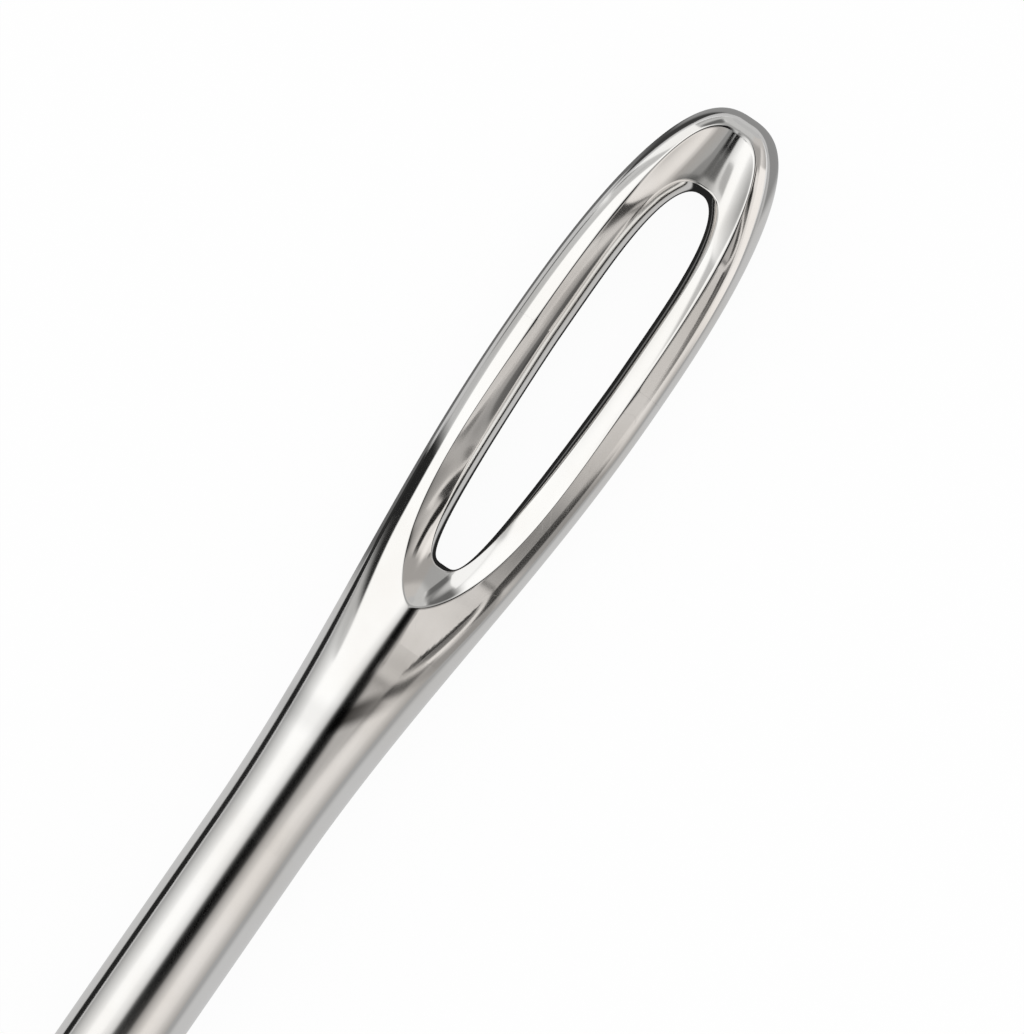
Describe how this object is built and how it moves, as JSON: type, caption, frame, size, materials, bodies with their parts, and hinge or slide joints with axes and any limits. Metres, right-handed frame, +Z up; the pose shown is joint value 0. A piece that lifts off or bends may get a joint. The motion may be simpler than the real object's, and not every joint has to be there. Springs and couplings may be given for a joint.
{
  "type": "yarn needle",
  "caption": "Large-eyed blunt steel yarn needle: round shank, flattened head with a long scooped eye, tapered point.",
  "frame": {"origin": "centre of the needle's box at its base: on the surface it lies on, half way along its length, below the shank's axis", "axes": "+X along the needle towards the eye end, +Y across the head's width, +Z up through the eye"},
  "size_m": [0.07, 0.0038, 0.0023],
  "materials": {
    "eye_steel": "bright nickel plate, tumbled and polished",
    "neck_steel": "bright nickel plate with a faint die mark",
    "shank_steel": "bright nickel plate with fine lengthwise polishing lines",
    "point_steel": "bright nickel plate, ground then polished"
  },
  "bodies": {
    "root": {"eye_head": "eye_steel", "neck": "neck_steel", "shank": "shank_steel", "point": "point_steel"}
  },
  "joints": []
}
